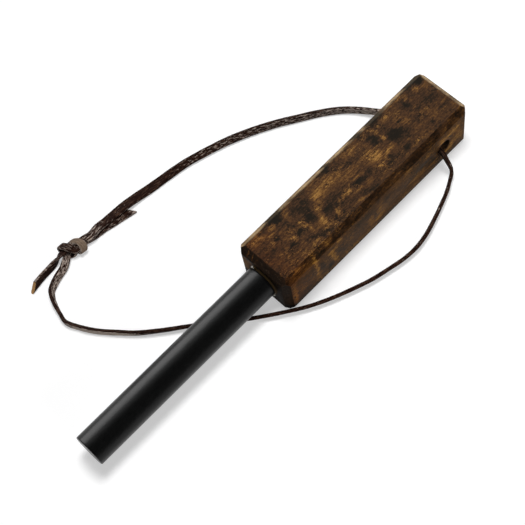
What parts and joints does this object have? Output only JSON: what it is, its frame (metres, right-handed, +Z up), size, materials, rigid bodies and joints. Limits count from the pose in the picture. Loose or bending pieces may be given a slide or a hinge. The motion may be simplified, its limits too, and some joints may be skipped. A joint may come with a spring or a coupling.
{
  "type": "ferro rod fire starter",
  "caption": "Ferrocerium rod glued into a bevelled wooden handle, with a flat leather thong knotted into a loop through a hole near the butt.",
  "frame": {"origin": "on the surface below the middle of the handle and rod together", "axes": "+X along the rod towards its tip, +Y across the handle, +Z up from the surface"},
  "size_m": [0.182, 0.1, 0.022],
  "materials": {
    "handle": "satin",
    "ferro_rod": "matte",
    "epoxy_bond": "gloss",
    "thong": "matte"
  },
  "bodies": {
    "root": {"handle": "handle", "ferro_rod": "ferro_rod", "epoxy_bond": "epoxy_bond", "thong_in_hole": "thong", "thong_upper_run": "thong", "thong_lower_run": "thong", "thong_pointed_end": "thong", "thong_cut_end": "thong"}
  },
  "joints": []
}
